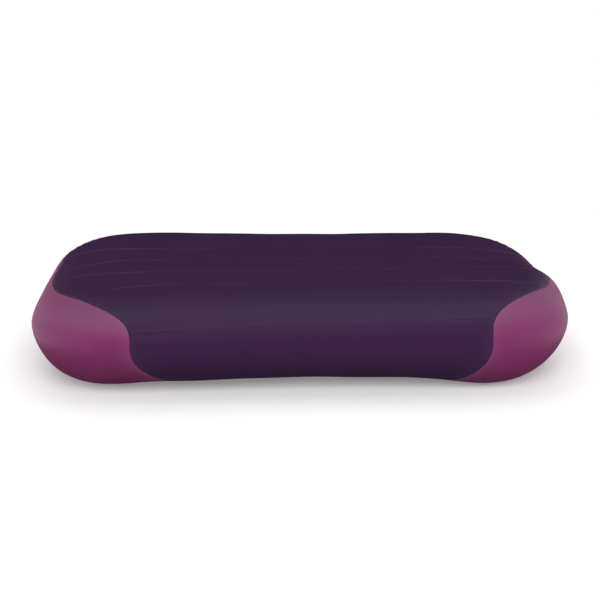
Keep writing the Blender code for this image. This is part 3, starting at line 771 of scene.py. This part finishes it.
def panelObject(name, stations, radii, hole):
    points = shaped(panelGrid(stations, fine["columns"]), False)
    normals = outward(points, False)
    points[..., 2] -= weldDip(points)
    sides, ends, across, along = edgeRuns(points)
    rise = puckers(sides, along, pucker["sidePhase"]) + puckers(ends, across, pucker["endPhase"])
    points = onFloor(points + normals * rise[..., None])
    seamLine = points[0], normals[0]
    points = turnedPanel(points, radii)
    wear = rubbing(np.minimum(*edgeRuns(points)[:2]))
    cut = fromValve(points) < valvePlace["hole"] if hole else None
    return gridObject(name, points, wear, hole=cut), seamLine


longTurn, endTurn = panels["longTurn"], panels["endTurn"]
seamTurns, plainTurns = (seamTurn(), longTurn), (longTurn, longTurn)
frontLower, rearLower = lowerStations(front, fine), lowerStations(rear, fine)
panelPlan = [
    ("upper_fabric", "upper_panel", upperStations(fine), "dark_fabric", seamTurns, False),
    ("front_lower_fabric", "front_lower_panel", frontLower, "dark_fabric", seamTurns, False),
    ("rear_lower_fabric", "rear_lower_panel", rearLower, "dark_fabric", plainTurns, True),
    ("base_fabric", "base_panel", baseStations(fine), "magenta_fabric", plainTurns, False),
]
laid = {}
for name, node, stations, slot, turns, hole in panelPlan:
    piece, laid[name] = panelObject(name, stations, (*turns, endTurn, endTurn), hole)
    dressPanel(piece, node, slot)

endCrease = {"depth": 0.00025, "width": 0.0035, "from": 0.02, "to": 0.06}
endPlan = [("left_end_fabric", "left_end_panel", left), ("right_end_fabric", "right_end_panel", right)]
for name, node, side in endPlan:
    points = shaped(endGrid(side, fine, form["tipInset"]), True)
    normals = outward(points, True)
    rise = puckers(runLengths(points, 0), runLengths(points, 1), pucker["ringPhase"])
    atFront = smoothStep(-points[..., 1], endCrease["from"], endCrease["to"])
    rise -= endCrease["depth"] * bell(points[..., 2], form["equator"], endCrease["width"]) * atFront
    points = onFloor(points + normals * rise[..., None])
    points = turnedEdge(points, outward(points, True), endTurn, True)[0]
    wear = rubbing(runLengths(points, 0))
    dressPanel(gridObject(name, points, wear, wrap=True), node, "magenta_fabric")
print("panels made")

# Stitches along the two long seams, one mesh of short threads for each
stitches = {"pitch": 0.0046, "length": 0.0021, "radius": 0.00035, "endShape": 4, "rings": 5, "sides": 6,
            "proud": 0.00010, "sunk": -0.00045, "sunkSpan": (-0.72, 0.80),
            "margin": 0.003, "ahead": 0.001}


def threadPoints():
    points = [(-stitches["length"] / 2, 0.0, 0.0)]
    for ring in range(stitches["rings"]):
        share = (ring + 0.5) / stitches["rings"] * 2 - 1
        size = stitches["radius"] * (1 - abs(share) ** stitches["endShape"]) ** 0.5
        for k in range(stitches["sides"]):
            turn = 2 * math.pi * k / stitches["sides"]
            points.append((share * stitches["length"] / 2, size * math.cos(turn), size * math.sin(turn)))
    points.append((stitches["length"] / 2, 0.0, 0.0))
    return np.array(points)


def threadFaces():
    sides, rings = stitches["sides"], stitches["rings"]
    faces = [(0, 1 + (k + 1) % sides, 1 + k) for k in range(sides)]
    for ring in range(rings - 1):
        start = 1 + ring * sides
        for k in range(sides):
            nextSide = (k + 1) % sides
            faces.append((start + k, start + nextSide, start + sides + nextSide, start + sides + k))
    last, end = 1 + (rings - 1) * sides, 1 + rings * sides
    return faces + [(end, last + k, last + (k + 1) % sides) for k in range(sides)]


def spotAt(at, run, line):
    return np.array([np.interp(at, run, line[:, axis]) for axis in range(3)])


def stitchRow(name, line, normals):
    run = runLengths(line[None], 1)[0]
    thread, faces, verts, polygons = threadPoints(), threadFaces(), [], []
    low, high = stitches["sunkSpan"]
    count = int((run[-1] - 2 * stitches["margin"]) / stitches["pitch"])
    for number in range(count):
        at = stitches["margin"] + (number + 0.5) * stitches["pitch"]
        place = spotAt(at, run, line)
        normal = unit(spotAt(at, run, normals))
        along = unit(spotAt(at + stitches["ahead"], run, line) - place)
        across = np.cross(normal, along)
        share = 2 * at / run[-1] - 1
        lift = stitches["proud"] if share < low or share > high else stitches["sunk"]
        start = len(verts)
        spots = place + normal * lift + thread[:, :1] * along
        spots = spots + thread[:, 1:2] * across + thread[:, 2:] * normal
        verts += spots.tolist()
        polygons += [tuple(start + k for k in face) for face in faces]
    mesh = newMesh(name, np.array(verts), polygons)
    mesh.shade_smooth()
    mesh.materials.append(finishes["thread"])
    piece = addObject(name, mesh)
    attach(piece, "cushion")


stitchRow("front_seam_stitches", *laid["front_lower_fabric"])
stitchRow("rear_seam_stitches", *laid["rear_lower_fabric"])
print("stitches made")

# What the solids already show well keeps its shape and gets its finish, and rubber gets softened edges
moulded = {"edge": 0.00022, "segments": 3, "sharpFrom": 35, "merge": 0.00001}


def soften(solid):
    join = solid.modifiers.new("join", "WELD")
    join.merge_threshold = moulded["merge"]
    edges = solid.modifiers.new("edges", "BEVEL")
    edges.width = moulded["edge"]
    edges.segments = moulded["segments"]
    edges.limit_method = "ANGLE"
    edges.angle_limit = math.radians(moulded["sharpFrom"])
    edges.harden_normals = True
    solid.data.shade_smooth()


for part in frame["record"]["subparts"]:
    if part["material_slot"] in grainedLooks:
        solid = frame["nodes"][part["node"]]
        solid.data.materials.clear()
        solid.data.materials.append(finishes[part["material_slot"]])
        if "rubber" in part["material_slot"]:
            soften(solid)
print("solids finished")

# The folds of the two straps, swept along a bend in the valve's own directions
strap = {"sheet": 0.0016, "width": 0.0080, "thin": 0.30, "narrow": 0.12, "root": 0.0007, "corner": 0.45,
         "steps": 20, "sides": 24}
folds = {
    "plug_strap_fold": {"bodies": ("cushion", "plug"), "centre": (-0.0165, 0.0041), "radius": 0.0015,
                        "turn": (270, 90)},
    "cap_strap_fold": {"bodies": ("plug", "cap"), "centre": (0.0110, 0.0070), "radius": 0.0011,
                       "turn": (0, 90)},
}
valveEnds = [valvePlace["x"] + side * valvePlace["radius"] / 2 for side in (left, right)]
valveLean = math.atan2(float(halfDepthAt(valveEnds[1]) - halfDepthAt(valveEnds[0])), valvePlace["radius"])
loopTurns = np.arange(strap["sides"]) / strap["sides"] * 2 * math.pi


def inValve(x, y, z):
    along = (math.cos(valveLean), math.sin(valveLean), 0)
    away = (-math.sin(valveLean), math.cos(valveLean), 0)
    spots = np.multiply.outer(x, along) + np.multiply.outer(y, (0, 0, -1)) + np.multiply.outer(z, away)
    return np.array(valveAxis) + spots


def foldPath(fold):
    turns = np.radians(np.linspace(*fold["turn"], strap["steps"] + 1))
    way = np.sign(fold["turn"][1] - fold["turn"][0])
    arc = np.array(fold["centre"]) + fold["radius"] * np.stack([np.cos(turns), np.sin(turns)], axis=-1)
    heading = way * np.stack([-np.sin(turns), np.cos(turns)], axis=-1)
    first, last = arc[0] - strap["root"] * heading[0], arc[-1] + strap["root"] * heading[-1]
    return np.concatenate([[first], arc, [last]]), np.concatenate([heading[:1], heading, heading[-1:]])


def roundedLoop(width, height):
    across, up = np.cos(loopTurns), np.sin(loopTurns)
    corner = strap["corner"]
    across, up = np.sign(across) * np.abs(across) ** corner, np.sign(up) * np.abs(up) ** corner
    return across * width / 2, up * height / 2


def rubberPiece(name, rings):
    index = looped(gridIndex(rings), 1)
    ends = [index[0, :-1].tolist()[::-1], index[-1, :-1].tolist()]
    mesh = newMesh(name, rings, quads(index).tolist() + ends)
    rework(mesh, faceOut)
    mesh.shade_smooth()
    mesh.materials.append(finishes["black_rubber"])
    piece = addObject(name, mesh)
    return piece


for name, fold in folds.items():
    path, heading = foldPath(fold)
    bow = np.sin(np.linspace(0, math.pi, len(path))) ** 2
    rings = []
    for spot, way, share in zip(path, heading, bow):
        width = strap["width"] * (1 - strap["narrow"] * share)
        across, up = roundedLoop(width, strap["sheet"] * (1 - strap["thin"] * share))
        rings.append(inValve(spot[0] - way[1] * up, across, spot[1] + way[0] * up))
    piece = rubberPiece(name, np.array(rings))
    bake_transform(piece)

# Grip ribs on the pull lips of the plug and the cap
ribs = {"radius": 0.00035, "half": 0.0030, "steps": 12, "endTurn": 0.12, "endShape": 8}
ribPlaces = {"plug": (0.0064, (0.0136, 0.0146, 0.0156)), "cap": (0.0089, (-0.0082, -0.0092, -0.0102))}
ribTurns = np.linspace(ribs["endTurn"], math.pi - ribs["endTurn"], ribs["steps"])
ribLengths = -ribs["half"] * np.cos(ribTurns)
ribSizes = ribs["radius"] * (1 - (ribLengths / ribs["half"]) ** ribs["endShape"]) ** 0.5
for body, (height, places) in ribPlaces.items():
    for number, x in enumerate(places, 1):
        rings = []
        for along, size in zip(ribLengths, ribSizes):
            across, up = size * np.cos(loopTurns), size * np.sin(loopTurns)
            rings.append(inValve(x + across, np.full_like(loopTurns, along), height + up))
        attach(rubberPiece("%s_grip_rib_%d" % (body, number), np.array(rings)), body)
print("straps and ribs made")

# Floor, flags, light and camera
studio = {"floorSize": 30.0, "floorDrop": 0.0002, "floorColour": 0.92, "floorGlow": 0.20,
          "whiteFrom": 0.33, "whiteTo": 0.70, "ambient": 0.24}
flags = {"away": 1.7, "width": 1.7, "rearWidth": 2.2, "height": 1.5, "floorWidth": 0.60, "floorShade": 0.08,
         "backFrom": 0.50, "backWidth": 1.5, "bounceTint": (0.92, 0.66, 1.0)}
white, black = (1, 1, 1, 1), (0, 0, 0, 1)
matt = {"Roughness": 1, "Specular IOR Level": 0}


def seenDirectly(tree):
    path = addNode(tree, "LightPath")
    some = calc(tree, "MAXIMUM", path.outputs["Is Camera Ray"], path.outputs["Is Glossy Ray"])
    return calc(tree, "MAXIMUM", some, path.outputs["Is Transmission Ray"])


def lying(half, near, far, z):
    return np.array([(-half, near, z), (half, near, z), (half, far, z), (-half, far, z)])


def standing(half, y, low, high):
    return np.array([(-half, y, low), (half, y, low), (half, y, high), (-half, y, high)])


def stageSheet(name, corners, finish):
    mesh = newMesh(name, corners, [(0, 1, 2, 3)])
    mesh.materials.append(finish)
    sheet = addObject(name, mesh)
    return sheet


# Near the cushion the floor takes its shadow, and further off it is plain white to the camera
def buildFloor():
    finish, tree, shader = newMaterial("pale_floor")
    setInputs(shader, {"Base Color": (*[studio["floorColour"]] * 3, 1), "Emission Color": white, **matt})
    seen = seenDirectly(tree)
    tree.links.new(calc(tree, "MULTIPLY", seen, studio["floorGlow"]), shader.inputs["Emission Strength"])
    plain = addNode(tree, "Emission", {"Color": white, "Strength": 1.0})
    where = addNode(tree, "NewGeometry")
    away = addNode(tree, "VectorMath", operation="LENGTH")
    tree.links.new(where.outputs["Position"], away.inputs[0])
    far = addNode(tree, "MapRange", {"From Min": studio["whiteFrom"], "From Max": studio["whiteTo"]},
                  interpolation_type="SMOOTHSTEP")
    tree.links.new(away.outputs["Value"], far.inputs["Value"])
    both = addNode(tree, "MixShader")
    tree.links.new(calc(tree, "MULTIPLY", seen, far.outputs["Result"]), both.inputs[0])
    tree.links.new(shader.outputs[0], both.inputs[1])
    tree.links.new(plain.outputs[0], both.inputs[2])
    tree.links.new(both.outputs[0], tree.nodes["Material Output"].inputs["Surface"])
    half = studio["floorSize"] / 2
    stageSheet("floor", lying(half, -half, half, -studio["floorDrop"]), finish)


# Flags round the cushion and on the floor, seen only in reflections, keep the white out of its gloss; the floor
# flag glows faintly in the cushion's purple, a painted reflection of its colour bounced off the shaded floor
def flagFinish(name, shade):
    finish, _, shader = newMaterial(name)
    # The emission colour is painted bounce light: the cushion's purple as the shaded floor near it would reflect
    # it
    setInputs(shader, {"Base Color": black, "Emission Color": (*flags["bounceTint"], 1), **matt})
    setInputs(shader, {"Emission Strength": shade})
    return finish


def buildFlags():
    dark, grey = flagFinish("dark_flag", 0.0), flagFinish("purple_glow_flag", flags["floorShade"])
    low, high, away, near = -studio["floorDrop"] / 2, flags["height"], flags["away"], flags["backFrom"]
    plan = {
        "floor_flag": lying(flags["floorWidth"] / 2, -away, near, low),
        "back_flag": lying(flags["backWidth"] / 2, near, away, low),
        "rear_flag": standing(flags["rearWidth"] / 2, away, low, high),
        "front_flag": standing(flags["width"] / 2, -away, low, high),
    }
    for name, corners in plan.items():
        sheet = stageSheet(name, corners, grey if name == "floor_flag" else dark)
        sheet.visible_camera = sheet.visible_diffuse = sheet.visible_transmission = False
        sheet.visible_volume_scatter = sheet.visible_shadow = False


def buildWorld():
    world = bpy.data.worlds.new("studio")
    scene.world = world
    world.use_nodes = True
    tree = world.node_tree
    back = tree.nodes["Background"]
    setInputs(back, {"Color": white})
    strength = addNode(tree, "MapRange", {"To Min": studio["ambient"], "To Max": 1.0})
    tree.links.new(seenDirectly(tree), strength.inputs["Value"])
    tree.links.new(strength.outputs["Result"], back.inputs["Strength"])


softboxes = {
    "overhead_softbox": {"size": (1.9, 1.3), "place": (0, 0.28, 1.30), "power": 6.5, "glossy": True},
    "front_key": {"size": (2.0, 1.2), "place": (0, -1.7, 1.5), "power": 28.0, "glossy": False},
    "front_fill": {"size": (2.4, 0.36), "place": (0, -2.4, 0.19), "power": 24.0, "glossy": False},
    "rear_fill": {"size": (2.4, 1.2), "place": (0, 2.4, 0.8), "power": 24.0, "glossy": False},
    "left_fill": {"size": (1.0, 0.4), "place": (-1.9, 0, 0.21), "power": 13.0, "glossy": False},
    "right_fill": {"size": (1.0, 0.4), "place": (1.9, 0, 0.21), "power": 13.0, "glossy": False},
}


def buildLights():
    for name, box in softboxes.items():
        lamp = bpy.data.lights.new(name, "AREA")
        lamp.shape = "RECTANGLE"
        lamp.size, lamp.size_y = box["size"]
        lamp.energy = box["power"]
        thing = addObject(name, lamp)
        thing.location = box["place"]
        aim = Vector(heart) - Vector(box["place"])
        thing.rotation_euler = aim.to_track_quat("-Z", "Y").to_euler()
        thing.visible_glossy = box["glossy"]


cameraView = {"lens": 75.416, "sensor": 36, "distance": 1.2514, "elevation": 16.084, "yaw": 2.42,
              "across": 0.002, "lift": 0.0009, "aimHeight": 0.042}


def buildCamera():
    rise, turn = math.radians(cameraView["elevation"]), -math.radians(cameraView["yaw"])
    look = Vector((0, math.cos(rise), -math.sin(rise)))
    up = Vector((0, math.sin(rise), math.cos(rise)))
    place = Vector((cameraView["across"], 0, cameraView["aimHeight"])) + up * cameraView["lift"]
    place = place - look * cameraView["distance"]
    spin = Matrix.Rotation(turn, 3, "Z")
    lens = bpy.data.cameras.new("camera")
    lens.lens = cameraView["lens"]
    lens.sensor_width = cameraView["sensor"]
    camera = addObject("camera", lens)
    camera.location = spin @ place
    camera.rotation_euler = (spin @ look).to_track_quat("-Z", "Y").to_euler()
    scene.camera = camera


buildFloor()
buildFlags()
buildWorld()
buildLights()
buildCamera()
print("studio made")
